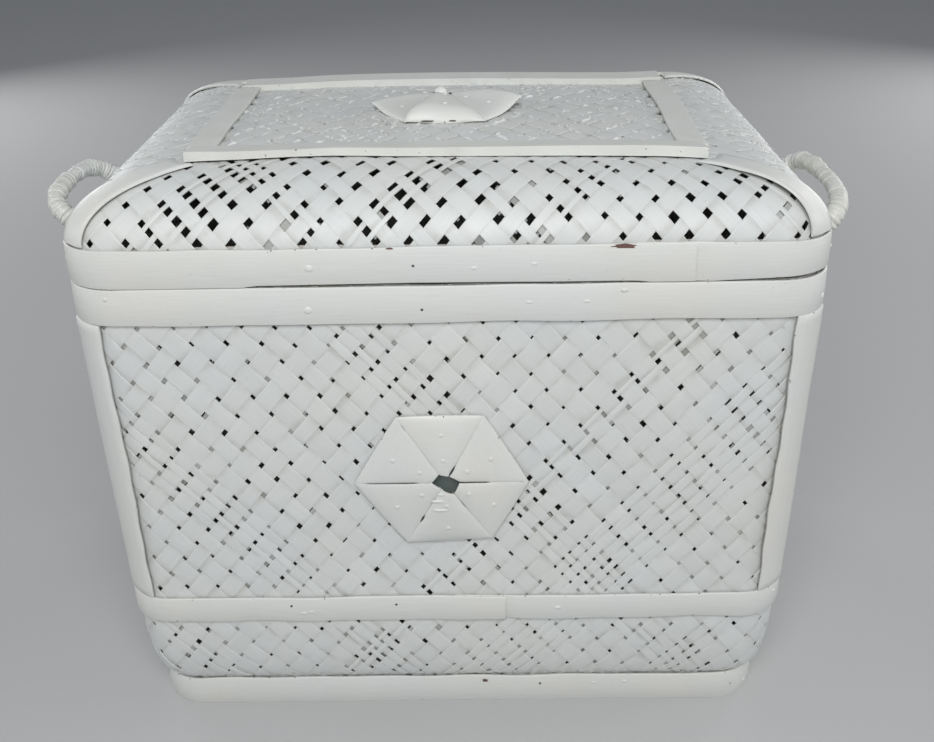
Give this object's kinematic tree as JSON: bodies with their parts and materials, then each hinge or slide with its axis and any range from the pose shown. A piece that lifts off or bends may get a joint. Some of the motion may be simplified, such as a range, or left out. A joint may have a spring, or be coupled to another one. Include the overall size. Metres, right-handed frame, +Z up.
{
  "type": "laundry hamper with lid",
  "caption": "Box-shaped woven splint hamper, painted off-white, with a domed lift-off lid, flat splint bands, hexagonal rosettes and cane handles.",
  "frame": {"origin": "centre of the overall box at the level that the foot band stands on", "axes": "+X to the hamper's right as seen from the front, +Y to the back, +Z up"},
  "size_m": [0.5328, 0.373, 0.4357],
  "materials": {
    "painted_weave": "woven splints brushed with off-white paint, satin, with open crossings",
    "painted_splint": "flat splint bands under thick off-white brushed paint, satin, chipped at the edges",
    "painted_cane": "cane binding under off-white paint, satin, darker between the turns",
    "inside_splint": "inner hoops and slats with thinner off-white paint"
  },
  "bodies": {
    "basket": {"front_wall_weave": "painted_weave", "back_wall_weave": "painted_weave", "left_wall_weave": "painted_weave", "right_wall_weave": "painted_weave", "bottom_weave": "painted_weave", "rim_band_outer": "painted_splint", "rim_band_inner": "inside_splint", "lid_collar": "inside_splint", "waist_band": "painted_splint", "foot_band": "painted_splint", "foot_band_inner": "inside_splint", "base_slat_1": "inside_splint", "base_slat_2": "inside_splint", "base_slat_3": "inside_splint", "front_left_post": "painted_splint", "front_right_post": "painted_splint", "back_left_post": "painted_splint", "back_right_post": "painted_splint", "front_left_inner_post": "inside_splint", "front_right_inner_post": "inside_splint", "back_left_inner_post": "inside_splint", "back_right_inner_post": "inside_splint", "front_rosette_petal_1": "painted_splint", "front_rosette_petal_2": "painted_splint", "front_rosette_petal_3": "painted_splint", "front_rosette_petal_4": "painted_splint", "front_rosette_petal_5": "painted_splint", "front_rosette_petal_6": "painted_splint"},
    "lid": {"lid_top_weave": "painted_weave", "lid_front_weave": "painted_weave", "lid_back_weave": "painted_weave", "lid_left_weave": "painted_weave", "lid_right_weave": "painted_weave", "lid_band_outer": "painted_splint", "lid_band_inner": "inside_splint", "lid_hip_front_left": "painted_splint", "lid_hip_front_right": "painted_splint", "lid_hip_back_left": "painted_splint", "lid_hip_back_right": "painted_splint", "lid_frame_front": "painted_splint", "lid_frame_back": "painted_splint", "lid_frame_left": "painted_splint", "lid_frame_right": "painted_splint", "lid_rosette_petal_1": "painted_splint", "lid_rosette_petal_2": "painted_splint", "lid_rosette_petal_3": "painted_splint", "lid_rosette_petal_4": "painted_splint", "lid_rosette_petal_5": "painted_splint", "lid_rosette_petal_6": "painted_splint", "lid_rosette_button": "painted_splint", "left_handle_core": "painted_cane", "left_handle_wrap": "painted_cane", "left_handle_front_lashing": "painted_cane", "left_handle_back_lashing": "painted_cane", "right_handle_core": "painted_cane", "right_handle_wrap": "painted_cane", "right_handle_front_lashing": "painted_cane", "right_handle_back_lashing": "painted_cane"}
  },
  "joints": [
    {"name": "lid_lift", "type": "slide", "parent": "basket", "child": "lid", "axis": [0, 0, 1], "range_m": [0, 0.15]}
  ]
}
